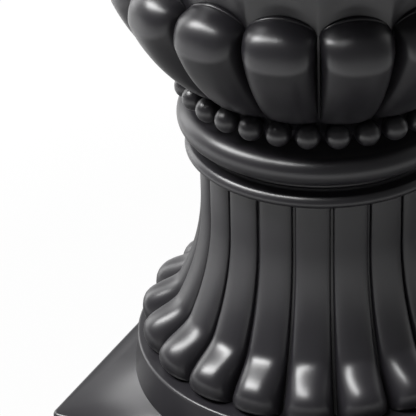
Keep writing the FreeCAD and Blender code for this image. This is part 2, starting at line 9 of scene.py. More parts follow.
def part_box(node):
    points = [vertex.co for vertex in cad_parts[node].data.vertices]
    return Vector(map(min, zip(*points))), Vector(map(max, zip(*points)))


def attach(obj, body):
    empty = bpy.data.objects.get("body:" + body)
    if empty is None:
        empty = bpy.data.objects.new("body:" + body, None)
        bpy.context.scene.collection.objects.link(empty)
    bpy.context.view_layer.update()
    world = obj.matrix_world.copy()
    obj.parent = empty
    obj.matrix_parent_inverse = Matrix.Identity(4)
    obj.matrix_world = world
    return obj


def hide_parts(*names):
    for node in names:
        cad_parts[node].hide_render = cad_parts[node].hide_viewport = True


bl_info = {
    "name": "Garden urn",
    "version": (1, 0, 0),
    "blender": (4, 5, 0),
    "location": "3D View > Sidebar > Urn",
    "description": "Builds a lobed garden urn around its packed frame",
    "category": "Object",
}

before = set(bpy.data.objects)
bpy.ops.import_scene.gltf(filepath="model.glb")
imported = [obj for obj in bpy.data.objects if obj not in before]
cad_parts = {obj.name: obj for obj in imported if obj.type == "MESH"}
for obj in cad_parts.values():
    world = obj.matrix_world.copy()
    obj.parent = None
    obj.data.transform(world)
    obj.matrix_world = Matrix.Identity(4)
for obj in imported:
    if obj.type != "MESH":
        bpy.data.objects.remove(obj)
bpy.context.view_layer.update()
MM = 0.001
TOUCH = 0.004 * MM    # points nearer than this are one point


# ---------------------------------------------------------------- sizes and colours
def length(name, millimetres, description):
    """A size that a user may change, kept in metres."""
    return bpy.props.FloatProperty(name=name, description=description, default=millimetres * MM, min=0,
                                   unit="LENGTH", subtype="DISTANCE", precision=5)


def number(name, default, description):
    """How many of something there are."""
    return bpy.props.IntProperty(name=name, description=description, default=default, min=1)


def turn(name, degrees, description):
    """An angle that a user may change, kept in radians."""
    return bpy.props.FloatProperty(name=name, description=description, default=math.radians(degrees),
                                   subtype="ANGLE", unit="ROTATION")


def share(name, default, description):
    """A part of a whole, from 0 to 1."""
    return bpy.props.FloatProperty(name=name, description=description, default=default, min=0, max=1,
                                   subtype="FACTOR")


def ratio(name, default, description):
    """A plain number from 0 up."""
    return bpy.props.FloatProperty(name=name, description=description, default=default, min=0)


def tone(name, code, description):
    """A colour, kept as its sRGB hex value."""
    return bpy.props.StringProperty(name=name, description=description, default=code)


class UrnBowl(bpy.types.PropertyGroup):
    """Sizes of the bowl. Heights count from the joint with the pedestal."""
    seat: length("Seat", 86, "Radius of the joint with the pedestal")
    foot: length("Foot", 5.6, "Height of the recess under the collar")
    collar: length("Collar", 100.3, "Radius of the half-round collar")
    collar_height: length("Collar height", 20.8, "Height of the half-round collar")
    throat: length("Throat", 86.5, "Radius of the neck where collar and lobes begin")
    groove: length("Groove", 75, "Radius of the groove behind the beads")
    bead: length("Bead", 8.6, "Radius of one bead")
    bead_ring: length("Bead ring", 93.6, "Radius of the ring of beads")
    bead_level: length("Bead level", 43, "Middle of the beads")
    beads: number("Beads", 30, "Beads round the neck")
    lobes: number("Lobes", 16, "Lobes round the bowl")
    lobe_foot: length("Lobe foot", 51, "Lowest point of a lobe")
    valley_foot: length("Valley foot", 54, "Lowest point between two lobes")
    lobe_reach: length("Lobe reach", 142, "Radius of a lobe at its widest")
    lobe_level: length("Lobe level", 110, "Height of a lobe's widest part")
    lobe_tuck: length("Lobe tuck", 9, "How much a lobe draws in from its widest part to its belly")
    dome_height: length("Dome height", 29, "Rounded top of a lobe above its widest part")
    dome_drop: length("Dome drop", 3.5, "How much the dome has dropped most of the way out")
    dome_lip: length("Dome lip", 4.2, "Ledge between a lobe's top and the wall")
    valley_share: share("Valley", 0.03, "Share of each half lobe that is flat ground between two lobes")
    fullness: ratio("Fullness", 2.7, "Roundness of a lobe's section: 2 is an ellipse, more is squarer")
    arch_fullness: ratio("Arch fullness", 1.75, "Roundness of the arch over a lobe")
    waist: length("Waist", 118.3, "Wall of the bowl at the top of the lobes")
    waist_level: length("Waist level", 126.5, "Height of the ends of the valleys")
    arch: length("Arch", 12.5, "Rise of the arch over each lobe")
    flute: length("Flute", 3.0, "Depth of the flutes in the upper wall")
    rim: length("Rim", 225, "Outside of the rolled rim")
    roll: length("Roll", 9, "Radius of the rolled rim")
    height: length("Height", 312, "Joint to the top of the rim")
    wall: length("Wall", 5, "Thickness of the wall")
    floor: length("Floor", 8, "Thickness of the floor")
    drain: length("Drain", 10, "Radius of the drain hole")
    turn: turn("Turn", 0.5, "Turn of the bowl on the pedestal")


class UrnPedestal(bpy.types.PropertyGroup):
    """Sizes of the pedestal. Heights count from the top of the plinth."""
    drum: length("Drum", 136.7, "Radius of the drum at its foot")
    drum_top: length("Drum top", 134.3, "Radius of the drum at its top")
    drum_height: length("Drum height", 28.5, "Height of the drum")
    drum_edge: length("Drum edge", 2.2, "Rounding of the drum's edge")
    ribs: number("Ribs", 20, "Ribs round the stem")
    turn: turn("Turn", 1.8, "Turn of the ribs on the plinth")
    valley_share: share("Valley", 0.06, "Share of each half rib that is flat ground between two ribs")
    fullness: ratio("Fullness", 2.9, "Roundness of a rib's section at the neck")
    toe_fullness: ratio("Toe fullness", 2.3, "Roundness of a rib's section at its toe")
    ground: length("Ground", 81, "Radius of the stem between the ribs at the neck")
    ground_foot: length("Ground foot", 114, "Radius of the stem between the ribs on the drum")
    crest: length("Crest", 85.6, "Radius of the stem on a rib at the neck")
    bend_level: length("Bend level", 140, "Height where the stem begins to flare")
    crest_arc: length("Crest arc", 158, "Arc of the flare along a rib")
    heel: length("Heel", 66, "Height where the flare runs into the toe")
    toe: length("Toe", 131, "Reach of a toe")
    toe_level: length("Toe level", 41, "Height of a toe's widest part")
    neck_top: length("Neck top", 178, "Underside of the narrow ring")
    ring: length("Ring", 95.7, "Radius of the narrow ring")
    ring_edge: length("Ring edge", 92, "Radius of the ring's upper edge")
    ring_top: length("Ring top", 187, "Top of the narrow ring")
    seat: length("Seat", 86, "Radius of the joint with the bowl")
    height: length("Height", 190, "Height of the pedestal")
    shell: length("Shell", 4.5, "Thickness of the wall")
    plate: length("Plate", 8, "Thickness of the top plate")
    relief: length("Relief", 16, "Radius of the hole under the drain hole")


class UrnFinish(bpy.types.PropertyGroup):
    """Colours, as sRGB hex values, and surfaces."""
    plastic: tone("Plastic", "1A191C", "Black moulded plastic")
    rubber: tone("Rubber", "1B1B1C", "Black rubber")
    rubber_dust: tone("Rubber dust", "343333", "Black rubber where it is dusty")
    zinc: tone("Zinc", "B9BCC0", "Zinc plating")
    zinc_cloud: tone("Zinc cloud", "A6A9AF", "Zinc plating where it is cloudy")
    roughness: share("Roughness", 0.33, "Roughness of the moulded plastic")
    floor: tone("Floor", "D8D8D8", "Studio floor")
    # painted shadow: the floor's colour close to the urn, darker than the floor further out, where the urn
    # would shade it
    shade: tone("Shade", "6A6A6A", "Studio floor close to the urn")


class UrnStage(bpy.types.PropertyGroup):
    """Camera and lamps."""
    lens: bpy.props.FloatProperty(name="Lens", description="Focal length of the camera", default=193.89,
                                  subtype="DISTANCE_CAMERA")
    place: bpy.props.FloatVectorProperty(name="Camera", description="Place of the camera", size=3,
                                         default=(0.55939, -1.25413, 0.96166), subtype="TRANSLATION")
    heading: turn("Heading", 117.3965, "Direction of the camera's view over the floor")
    pitch: turn("Pitch", -29.9659, "Slope of the camera's view")
    roll: turn("Roll", -1.6834, "Roll of the camera")
    room: ratio("Room", 0.17, "Light from the room in front of the urn")
    backdrop: ratio("Backdrop", 0.85, "Light from the white backdrop behind it")


# ---------------------------------------------------------------- small tools
def linear(code):
    """The linear RGBA colour of an sRGB hex value."""
    channels = [int(code[i:i + 2], 16) / 255 for i in (0, 2, 4)]
    return [c / 12.92 if c <= 0.04045 else ((c + 0.055) / 1.055) ** 2.4 for c in channels] + [1.0]


def add_node(tree, kind, inputs=None, **settings):
    """Adds a node with its settings. inputs gives a socket to link from, or a value, for each input."""
    node = tree.nodes.new(kind)
    for name, setting in settings.items():
        setattr(node, name, setting)
    for name, given in (inputs or {}).items():
        if isinstance(given, bpy.types.NodeSocket):
            tree.links.new(given, node.inputs[name])
        else:
            node.inputs[name].default_value = given
    return node


def between(low, high, part):
    """The value that is this part of the way from low to high."""
    return low + (high - low) * part


def smooth(part):
    """Runs from 0 to 1 with soft ends."""
    part = min(max(part, 0), 1)
    return part * part * (3 - 2 * part)


def arc(centre, radii, first, last, steps):
    """Points (radius, height) on part of an ellipse, angles in degrees from outwards to upwards."""
    points = []
    for k in range(steps + 1):
        angle = math.radians(between(first, last, k / steps))
        points.append((centre[0] + radii[0] * math.cos(angle), centre[1] + radii[1] * math.sin(angle)))
    return points


def curve(poles, steps):
    """Points on a cubic curve through four poles."""
    points = []
    for k in range(steps + 1):
        t = k / steps
        weights = ((1 - t) ** 3, 3 * (1 - t) ** 2 * t, 3 * (1 - t) * t * t, t ** 3)
        points.append(tuple(sum(w * p[i] for w, p in zip(weights, poles)) for i in (0, 1)))
    return points


def mesh_piece(name, points, faces):
    """A new object with a mesh of its own."""
    mesh = bpy.data.meshes.new(name)
    mesh.from_pydata([tuple(p) for p in points], [], faces)
    piece = bpy.data.objects.new(name, mesh)
    bpy.context.scene.collection.objects.link(piece)
    return piece


def clean(piece, sharp=35):
    """Joins what coincides, turns the faces outwards and shades smoothly, but not over sharp edges."""
    shape = bmesh.new()
    shape.from_mesh(piece.data)
    bmesh.ops.remove_doubles(shape, verts=shape.verts, dist=TOUCH)
    bmesh.ops.dissolve_degenerate(shape, edges=shape.edges, dist=TOUCH)
    bmesh.ops.recalc_face_normals(shape, faces=shape.faces)
    shape.to_mesh(piece.data)
    shape.free()
    piece.data.polygons.foreach_set("use_smooth", [True] * len(piece.data.polygons))
    piece.data.set_sharp_from_angle(angle=math.radians(sharp))
    return piece


def settle(piece, material, slot, *nodes, body="urn"):
    """Gives a finished piece its material and its body, and hides the nodes it stands for. slot is not used.
    """
    piece.data.materials.clear()
    piece.data.materials.append(material)
    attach(piece, body)
    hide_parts(*nodes)


# ---------------------------------------------------------------- copies round the axis
def ring_tree():
    """Geometry Nodes that set copies of a mesh round the upright axis and join them."""
    tree = bpy.data.node_groups.get("copies round the axis")
    if tree:
        return tree
    tree = bpy.data.node_groups.new("copies round the axis", "GeometryNodeTree")
    tree.is_modifier = True
    for name, kind in (("Geometry", "NodeSocketGeometry"), ("Copies", "NodeSocketInt"),
                       ("First", "NodeSocketFloat"), ("Material", "NodeSocketMaterial")):
        tree.interface.new_socket(name, in_out="INPUT", socket_type=kind)
    tree.interface.new_socket("Geometry", in_out="OUTPUT", socket_type="NodeSocketGeometry")
    given = add_node(tree, "NodeGroupInput").outputs
    spots = add_node(tree, "GeometryNodePoints", {"Count": given["Copies"]})
    index = add_node(tree, "GeometryNodeInputIndex")
    step = add_node(tree, "ShaderNodeMath", {0: 2 * math.pi, 1: given["Copies"]}, operation="DIVIDE")
    angle = add_node(tree, "ShaderNodeMath", {0: index.outputs[0], 1: step.outputs[0], 2: given["First"]},
                     operation="MULTIPLY_ADD")
    euler = add_node(tree, "ShaderNodeCombineXYZ", {"Z": angle.outputs[0]})
    rotation = add_node(tree, "FunctionNodeEulerToRotation", {0: euler.outputs[0]})
    copies = add_node(tree, "GeometryNodeInstanceOnPoints",
                      {"Points": spots.outputs[0], "Instance": given["Geometry"],
                       "Rotation": rotation.outputs[0]})
    real = add_node(tree, "GeometryNodeRealizeInstances", {"Geometry": copies.outputs[0]})
    joined = add_node(tree, "GeometryNodeMergeByDistance", {"Geometry": real.outputs[0], "Distance": TOUCH})
    painted = add_node(tree, "GeometryNodeSetMaterial",
                       {"Geometry": joined.outputs[0], "Material": given["Material"]})
    add_node(tree, "NodeGroupOutput", {"Geometry": painted.outputs[0]})
    return tree


def ring_of(piece, copies, first, material):
    """Turns a piece into a plain mesh of copies round the axis, the first one turned by first."""
    modifier = piece.modifiers.new("ring", "NODES")
    tree = ring_tree()
    modifier.node_group = tree
    names = {item.name: item.identifier for item in tree.interface.items_tree if item.in_out == "INPUT"}
    modifier[names["Copies"]] = copies
    modifier[names["First"]] = first
    modifier[names["Material"]] = material
    evaluated = piece.evaluated_get(bpy.context.evaluated_depsgraph_get())
    whole = bpy.data.meshes.new_from_object(evaluated)
    piece.modifiers.clear()
    piece.data = whole
    return piece


# ---------------------------------------------------------------- puffed slices
def slice_columns(valley_share, steps=22):
    """Sideways places in a slice, from -1 to 1, close together where a lobe or rib turns down."""
    reach = 1 - valley_share
    crowding = 0.87
    cosines = [math.cos(math.pi * k / steps) for k in range(steps + 1)]
    return [-1.0] + [-reach * math.copysign(abs(c) ** crowding, c) for c in cosines] + [1.0]


def puff(place, valley_share, fullness):
    """How far out a lobe or rib stands at a sideways place: 0 in the valley, 1 on its crest."""
    across = min(abs(place) / (1 - valley_share), 1)
    return (1 - across ** fullness) ** (1 / fullness)


def hollow(place):
    """How deep a flute is at a sideways place: 0 on the ridge, 1 in the middle."""
    sharpness = 1.4
    return (1 - place * place) ** sharpness


def slice_piece(name, rows, columns, count, level):
    """One slice of a closed turned shape. Each row gives (radius, height) for a sideways place."""
    points = []
    for row in rows:
        for place in columns:
            radius, height = row(place)
            angle = place * math.pi / count
            points.append((radius * math.cos(angle), radius * math.sin(angle), level + height))
    wide = len(columns)
    faces = []
    for i in range(len(rows)):
        after = (i + 1) % len(rows)
        for k in range(wide - 1):
            faces.append((i * wide + k, i * wide + k + 1, after * wide + k + 1, after * wide + k))
    return mesh_piece(name, points, faces)


def even(points):
    """Rows that are the same all the way round."""
    return [lambda place, p=p: p for p in points]


# ---------------------------------------------------------------- materials
def noise_scale(millimetres):
    """The scale of a noise whose spots are about this far apart."""
    return 1 / (millimetres * MM)


def blank_finish(name):
    """A new material, its tree, its shader, and the place on a piece that its patterns read."""
    material = bpy.data.materials.new(name)
    material.use_nodes = True
    tree = material.node_tree
    place = add_node(tree, "ShaderNodeTexCoord").outputs["Object"]
    return material, tree, tree.nodes["Principled BSDF"], place


def moulded_plastic():
    """Black polyethylene, blow moulded and satin: even soft gloss with a faint mould grain and slight waves
    that break up the highlights, a little rougher in patches where hands and the mould rubbed it."""
    finish = bpy.context.scene.urn_finish
    material, tree, shader, place = blank_finish("satin moulded plastic")
    black = linear(finish.plastic)
    faded = [c * 1.25 for c in black[:3]] + [1]
    dust = add_node(tree, "ShaderNodeTexNoise", {"Vector": place, "Scale": noise_scale(111), "Detail": 3.0})
    shade = add_node(tree, "ShaderNodeMix", {"Factor": dust.outputs[0], 6: black, 7: faded}, data_type="RGBA")
    rubbed = add_node(tree, "ShaderNodeTexNoise",
                      {"Vector": place, "Scale": noise_scale(45.5), "Detail": 2.0})
    rough = add_node(tree, "ShaderNodeMapRange",
                     {"Value": rubbed.outputs[0], "From Min": 0.3, "From Max": 0.7,
                      "To Min": finish.roughness - 0.03, "To Max": finish.roughness + 0.04})
    # drawn coarser than the mould's own grain, which would be too fine to show
    grain = add_node(tree, "ShaderNodeTexNoise",
                     {"Vector": place, "Scale": noise_scale(0.3846), "Detail": 1.0})
    waves = add_node(tree, "ShaderNodeTexNoise", {"Vector": place, "Scale": noise_scale(35.7), "Detail": 1.0})
    fine = add_node(tree, "ShaderNodeBump",
                    {"Height": grain.outputs[0], "Strength": 0.05, "Distance": 0.1 * MM})
    bump = add_node(tree, "ShaderNodeBump", {"Height": waves.outputs[0], "Strength": 0.12,
                                             "Distance": 1.2 * MM, "Normal": fine.outputs[0]})
    tree.links.new(shade.outputs[2], shader.inputs["Base Color"])
    tree.links.new(rough.outputs[0], shader.inputs["Roughness"])
    tree.links.new(bump.outputs[0], shader.inputs["Normal"])
    shader.inputs["IOR"].default_value = 1.52
    return material


def soft_rubber():
    """Moulded rubber: nearly matt, slightly dusty."""
    finish = bpy.context.scene.urn_finish
    material, tree, shader, place = blank_finish("moulded rubber")
    dust = add_node(tree, "ShaderNodeTexNoise", {"Vector": place, "Scale": noise_scale(6.25), "Detail": 4.0})
    shade = add_node(tree, "ShaderNodeMix", {"Factor": dust.outputs[0], 6: linear(finish.rubber),
                                             7: linear(finish.rubber_dust)}, data_type="RGBA")
    bump = add_node(tree, "ShaderNodeBump",
                    {"Height": dust.outputs[0], "Strength": 0.15, "Distance": 0.2 * MM})
    tree.links.new(shade.outputs[2], shader.inputs["Base Color"])
    tree.links.new(bump.outputs[0], shader.inputs["Normal"])
    shader.inputs["Roughness"].default_value = 0.72
    shader.inputs["IOR"].default_value = 1.5
    return material


def zinc_plate():
    """Zinc plated steel: bright, with the faint cloudiness of the plating bath."""
    finish = bpy.context.scene.urn_finish
    material, tree, shader, place = blank_finish("zinc plated steel")
    cloud = add_node(tree, "ShaderNodeTexNoise", {"Vector": place, "Scale": noise_scale(4.55), "Detail": 3.0})
    shade = add_node(tree, "ShaderNodeMix", {"Factor": cloud.outputs[0], 6: linear(finish.zinc),
                                             7: linear(finish.zinc_cloud)}, data_type="RGBA")
    rough = add_node(tree, "ShaderNodeMapRange", {"Value": cloud.outputs[0], "To Min": 0.26, "To Max": 0.42})
    tree.links.new(shade.outputs[2], shader.inputs["Base Color"])
    tree.links.new(rough.outputs[0], shader.inputs["Roughness"])
    shader.inputs["Metallic"].default_value = 1.0
    return material


def finish_of(name):
    """The material of that name, made once."""
    makers = {"satin moulded plastic": moulded_plastic, "moulded rubber": soft_rubber,
              "zinc plated steel": zinc_plate}
    return bpy.data.materials.get(name) or makers[name]()


# ---------------------------------------------------------------- bowl
def wall_end(bowl):
    """Height where the upper wall runs into the rolled rim."""
    return bowl.height - 1.9 * bowl.roll


def flare(bowl, inside=0.0):
    """The curve of the upper wall, from the waist to the rolled rim."""
    run = bowl.rim - 1.4 * bowl.roll - bowl.waist
    rise = wall_end(bowl) - bowl.waist_level
    radius = (run * run + rise * rise) / (2 * run)

    def at(height):
        up = min(max(height - bowl.waist_level, 0), rise)
        return bowl.waist + radius - math.sqrt((radius + inside) ** 2 - up * up)
    return at


def lobe_rows(bowl):
    """The puffed band: valleys on the wall behind, crests on a full curve, and the domes on top."""
    steps, dome_steps, fade_rows = 26, 20, 18
    valley_bend, valley_top = (8 * MM, 17 * MM), (3.5 * MM, 30 * MM)    # how far each pole is from its end
    belly_out, belly_up, tuck_up = 0.34, 0.11, 0.6    # shares of a lobe's reach and height
    shoulder_up, shoulder_out = 0.6, 0.8    # shares of the dome's height and reach
    edge, edge_rise, tuck_in, tuck_down = 1.7 * MM, 1.6 * MM, 0.4 * MM, 3 * MM    # the dome's edge
    low = (bowl.throat + 4 * MM, bowl.valley_foot)
    valley = curve([low, (low[0] + valley_bend[0], low[1] + valley_bend[1]),
                    (bowl.waist - valley_top[0], bowl.waist_level - valley_top[1]),
                    (bowl.waist, bowl.waist_level)], steps)
    foot = (bowl.throat + 6 * MM, bowl.lobe_foot)
    widest = (bowl.lobe_reach, bowl.lobe_level)
    top = (bowl.waist + bowl.dome_lip, bowl.lobe_level + bowl.dome_height - 1.2 * MM)
    tall = widest[1] - foot[1]
    crest = curve([foot, (between(foot[0], widest[0], belly_out), foot[1] + belly_up * tall),
                   (widest[0] - bowl.lobe_tuck, foot[1] + tuck_up * tall), widest], steps)
    crest += curve([widest, (widest[0], between(widest[1], top[1], shoulder_up)),
                    (between(bowl.waist, widest[0], shoulder_out), top[1] - bowl.dome_drop), top],
                   dome_steps)[1:]
    crest += arc((bowl.waist + edge, top[1]), (edge, edge_rise), 5, 180, 8)
    crest += [(bowl.waist - tuck_in, top[1] - tuck_down)]
    valley += [valley[-1]] * (len(crest) - len(valley))
    rows = []
    for k, (ground, top) in enumerate(zip(valley, crest)):
        shape = between(bowl.fullness, bowl.arch_fullness, smooth((k - steps) / fade_rows))

        def row(place, ground=ground, top=top, shape=shape):
            out = puff(place, bowl.valley_share, shape)
            return between(ground[0], top[0], out), between(ground[1], top[1], out)
        rows.append(row)
    return rows


def wall_rows(bowl):
    """The fluted wall above the lobes, from the arches up to the rolled rim."""
    steps = 44
    sunk = 2 * MM                          # how far the wall reaches down behind the domes
    fade_from, fade_run = 0.72, 0.2        # shares of the wall's height where the flutes run out
    wall = flare(bowl)
    end = wall_end(bowl)
    rows = []
    for k in range(steps + 1):
        def row(place, part=k / steps):
            out = puff(place, bowl.valley_share, bowl.arch_fullness)
            foot = bowl.waist_level + bowl.arch * out - sunk
            height = between(foot, end, part)
            fade = 1 - smooth((part - fade_from) / fade_run)
            return wall(height) - bowl.flute * hollow(place) * fade * smooth(part * 12 + 0.1), height
        rows.append(row)
    return rows


def bowl_rows(bowl):
    """The whole outline of the bowl: joint, collar, groove, lobes, wall, rim, and back down inside."""
    collar = (bowl.collar - bowl.collar_height / 2, bowl.foot + bowl.collar_height / 2)
    half = (bowl.collar_height / 2, bowl.collar_height / 2)
    rows = even([(bowl.drain, 0), (bowl.seat - 1 * MM, 0), (bowl.seat, 1 * MM), (bowl.seat, bowl.foot)])
    rows += even(arc(collar, half, -90, 82, 18))
    shoulder = bowl.foot + bowl.collar_height
    rows += even([(bowl.throat + 1 * MM, shoulder), (bowl.throat, shoulder + 0.6 * MM),
                  (bowl.groove, shoulder + 2.5 * MM), (bowl.throat + 3 * MM, bowl.lobe_foot - 0.4 * MM)])
    rows += lobe_rows(bowl) + wall_rows(bowl)
    roll = (bowl.rim - bowl.roll, bowl.height - bowl.roll)
    rows += even([(bowl.rim - 1.25 * bowl.roll, bowl.height - 1.98 * bowl.roll)])
    rows += even(arc(roll, (bowl.roll, bowl.roll), -90, 180, 26))
    inner = flare(bowl, bowl.wall)
    steps = 24
    levels = [between(wall_end(bowl), bowl.waist_level, k / steps) for k in range(steps + 1)]
    rows += even([(inner(level), level) for level in levels])
    throat = bowl.groove - bowl.wall
    rows += even(curve([(bowl.waist - bowl.wall, bowl.waist_level - 2 * MM),
                        (bowl.waist - bowl.wall - 1 * MM, bowl.waist_level - 34 * MM),
                        (throat + 12 * MM, bowl.valley_foot + 20 * MM), (throat, bowl.valley_foot)], 12))
    rows += even(arc((throat - 4 * MM, bowl.floor + 4 * MM), (4 * MM, 4 * MM), 0, -90, 6))
    rows += even([(bowl.drain + 1 * MM, bowl.floor), (bowl.drain, bowl.floor - 1 * MM)])
    return rows


class URN_OT_bowl(bpy.types.Operator):
    """Makes the bowl with its collar, lobes, flutes and rolled rim."""
    bl_idname = "urn.bowl"
    bl_label = "Bowl"

    def execute(self, context):
        bowl = context.scene.urn_bowl
        plastic = finish_of("satin moulded plastic")
        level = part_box("bowl")[0].z
        piece = slice_piece("urn_bowl", bowl_rows(bowl), slice_columns(bowl.valley_share), bowl.lobes, level)
        ring_of(piece, bowl.lobes, bowl.turn + math.pi / bowl.lobes, plastic)
        settle(clean(piece), plastic, "urn_black", "bowl")
        return {"FINISHED"}


class URN_OT_beads(bpy.types.Operator):
    """Makes the ring of beads moulded on the neck of the bowl."""
    bl_idname = "urn.beads"
    bl_label = "Beads"

    def execute(self, context):
        bowl = context.scene.urn_bowl
        plastic = finish_of("satin moulded plastic")
        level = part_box("bowl")[0].z + bowl.bead_level
        shape = bmesh.new()
        bmesh.ops.create_uvsphere(shape, u_segments=28, v_segments=18, radius=bowl.bead)
        bmesh.ops.translate(shape, verts=shape.verts, vec=(bowl.bead_ring, 0, level))
        piece = mesh_piece("neck_beads", [], [])
        shape.to_mesh(piece.data)
        shape.free()
        ring_of(piece, bowl.beads, bowl.turn, plastic)
        settle(clean(piece), plastic, "urn_black", "bowl")
        return {"FINISHED"}


# ---------------------------------------------------------------- pedestal
def stem_bend(foot):
    """Drop and radius of the arc that the stem follows between the ribs."""
    run = foot.ground_foot - foot.ground
    drop = foot.bend_level - foot.drum_height
    return drop, (run * run + drop * drop) / (2 * run)


def rib_rows(foot):
    """The ribbed stem from the drum to the narrow ring: ground between the ribs, and the crest of a rib
    that comes out from under its toe, rounds it and follows the flare up to the neck."""
    steps, toe_steps, heel_steps, fade_rows = 30, 10, 12, 26
    pull = 10 * MM    # how far the flare goes on straight before it bends into the toe
    toe = curve([(foot.ground_foot + 6 * MM, foot.drum_height - 0.5 * MM),
                 (foot.toe - 3 * MM, foot.drum_height + 0.5 * MM),
                 (foot.toe + 0.4 * MM, foot.drum_height + 5.5 * MM), (foot.toe, foot.toe_level)], toe_steps)
    centre = (foot.crest + foot.crest_arc, foot.bend_level)
    bend = math.asin((foot.bend_level - foot.heel) / foot.crest_arc)
    heel = (centre[0] - foot.crest_arc * math.cos(bend), foot.heel)
    slope = (math.sin(bend), math.cos(bend))
    toe += curve([(foot.toe, foot.toe_level), (foot.toe, foot.toe_level + 14 * MM),
                  (heel[0] + slope[0] * pull, heel[1] - slope[1] * pull), heel], heel_steps)[1:]
    flare_points = [(centre[0] - foot.crest_arc * math.cos(bend * (1 - k / steps)),
                     centre[1] - foot.crest_arc * math.sin(bend * (1 - k / steps)))
                    for k in range(1, steps + 1)]
    upright = [(foot.crest, between(foot.bend_level, foot.neck_top + 1 * MM, k / 4)) for k in range(1, 5)]
    crest = toe + flare_points + upright
    radius = stem_bend(foot)[1]
    rows = []
    for k, top in enumerate(crest):
        part = max(k - heel_steps, 0) / (len(crest) - 1 - heel_steps)
        level = min(between(foot.drum_height - 0.5 * MM, foot.neck_top + 1 * MM, part), top[1])
        down = max(foot.bend_level - level, 0)
        ground = (foot.ground + radius - math.sqrt(radius * radius - down * down), level)
        shape = between(foot.toe_fullness, foot.fullness, smooth((k - heel_steps) / fade_rows))

        def row(place, ground=ground, top=top, shape=shape):
            out = puff(place, foot.valley_share, shape)
            return between(ground[0], top[0], out), between(ground[1], top[1], out)
        rows.append(row)
    return rows


def pedestal_rows(foot):
    """The whole outline of the pedestal: drum, stem, narrow ring, joint, and back down inside."""
    edge = foot.drum_edge
    rows = even([(foot.drum, 0), (foot.drum - 0.2 * MM, 3 * MM)])
    rows += even(arc((foot.drum_top - edge, foot.drum_height - edge), (edge, edge), 2, 90, 8))
    rows += even([(foot.ground_foot + 1 * MM, foot.drum_height)])
    rows += rib_rows(foot)
    rows += even(curve([(foot.ring_edge - 3 * MM, foot.neck_top), (foot.ring + 0.5 * MM, foot.neck_top),
                        (foot.ring + 1 * MM, foot.neck_top + 5 * MM),
                        (foot.ring_edge + 1 * MM, foot.ring_top - 0.6 * MM)], 10))
    rows += even([(foot.ring_edge, foot.ring_top), (foot.seat + 1 * MM, foot.ring_top),
                  (foot.seat, foot.ring_top + 0.5 * MM), (foot.seat, foot.height - 0.8 * MM),
                  (foot.seat - 0.8 * MM, foot.height), (foot.relief, foot.height),
                  (foot.relief, foot.height - foot.plate)])
    drop, radius = stem_bend(foot)
    radius += foot.shell
    inner = foot.ground - foot.shell
    fillet, steps = 5 * MM, 16
    rows += even(arc((inner - fillet, foot.height - foot.plate - fillet), (fillet, fillet), 90, 0, 5))
    for k in range(steps + 1):
        down = drop * k / steps
        rows += even([(inner + radius - math.sqrt(radius * radius - down * down), foot.bend_level - down)])
    room = foot.drum - 2 * foot.shell
    ceiling = foot.drum_height - foot.shell
    rows += even([(foot.ground_foot - foot.shell / 2, ceiling), (room - 3 * MM, ceiling),
                  (room, ceiling - 3 * MM), (room, 0)])
    return rows


class URN_OT_pedestal(bpy.types.Operator):
    """Makes the drum, the ribbed stem and the narrow ring."""
    bl_idname = "urn.pedestal"
    bl_label = "Pedestal"

    def execute(self, context):
        foot = context.scene.urn_pedestal
        plastic = finish_of("satin moulded plastic")
        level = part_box("pedestal")[0].z
        piece = slice_piece("ribbed_pedestal", pedestal_rows(foot), slice_columns(foot.valley_share, 20),
                            foot.ribs, level)
        ring_of(piece, foot.ribs, foot.turn, plastic)
        settle(clean(piece), plastic, "urn_black", "pedestal")
        return {"FINISHED"}


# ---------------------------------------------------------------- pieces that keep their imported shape
def dressed(name, node, finish, slot, body="urn", edge=0.0):
    """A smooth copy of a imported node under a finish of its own, its sharp edges eased by edge."""
    piece = bpy.data.objects.new(name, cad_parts[node].data.copy())
    bpy.context.scene.collection.objects.link(piece)
    clean(piece, 28)
    if edge:
        ease_edges(piece, edge)
        clean(piece, 50)
    settle(piece, finish_of(finish), slot, node, body=body)


def ease_edges(piece, width, sharp=35):
    """Rounds the sharp edges of a piece a little, as wear, plating and moulds leave them."""
    shape = bmesh.new()
    shape.from_mesh(piece.data)
    bmesh.ops.dissolve_limit(shape, angle_limit=math.radians(1), verts=shape.verts, edges=shape.edges)
    edges = [e for e in shape.edges
             if len(e.link_faces) == 2 and e.calc_face_angle() > math.radians(sharp)]
    bmesh.ops.bevel(shape, geom=edges, offset=width, segments=3, profile=0.5, affect="EDGES",
                    clamp_overlap=True)
    shape.to_mesh(piece.data)
    shape.free()


class URN_OT_plinth(bpy.types.Operator):
    """Makes the square plinth."""
    bl_idname = "urn.plinth"
    bl_label = "Plinth"

    def execute(self, context):
        dressed("square_plinth", "plinth", "satin moulded plastic", "urn_black")
        return {"FINISHED"}


class URN_OT_fittings(bpy.types.Operator):
    """Makes the bolts, seals, washers, nuts, screws, feet and drain plug."""
    bl_idname = "urn.fittings"
    bl_label = "Fittings"

    def execute(self, context):
        steel = ("zinc plated steel", "zinc_steel")
        rubber = ("moulded rubber", "rubber_black")
        for name, node, (finish, slot), body, edge in (
                ("joint_bolts", "bowl_bolts", steel, "urn", 0.35 * MM),
                ("joint_seals", "bolt_seals", rubber, "urn", 0.6 * MM),
                ("joint_washers", "bolt_washers", steel, "urn", 0.25 * MM),
                ("joint_wing_nuts", "wing_nuts", steel, "urn", 0.5 * MM),
                ("deck_screws", "plinth_screws", steel, "urn", 0.35 * MM),
                ("rubber_feet", "foot_pads", rubber, "urn", 0.8 * MM),
                ("bowl_plug", "drain_plug", rubber, "plug", 0.8 * MM)):
            dressed(name, node, finish, slot, body, edge)
        return {"FINISHED"}


